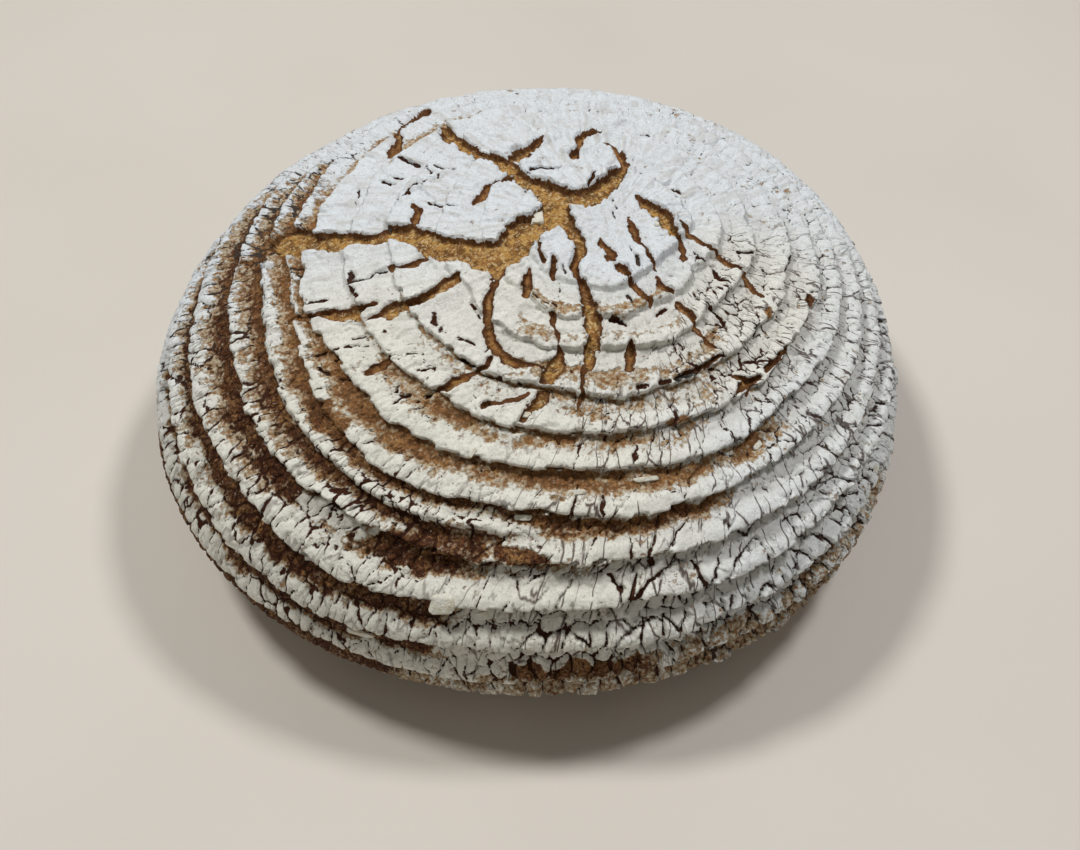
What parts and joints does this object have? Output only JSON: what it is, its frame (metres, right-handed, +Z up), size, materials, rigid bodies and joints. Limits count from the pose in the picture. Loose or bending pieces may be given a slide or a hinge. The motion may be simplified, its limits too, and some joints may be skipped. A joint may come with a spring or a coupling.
{
  "type": "sourdough loaf",
  "caption": "Round sourdough loaf with floured coil ridges from a proving basket, a torn star at the crown and a flat underside.",
  "frame": {"origin": "centre of the loaf's box, on the surface that its flat underside rests on", "axes": "+Z up through the loaf, from the underside to the crown; -Y is the front, where the bare hollow in the crust shows; +X is right"},
  "size_m": [0.2206, 0.2208, 0.0907],
  "materials": {
    "crust": "matt floured crust, white flour over brown"
  },
  "bodies": {
    "root": {"loaf": "crust"}
  },
  "joints": []
}
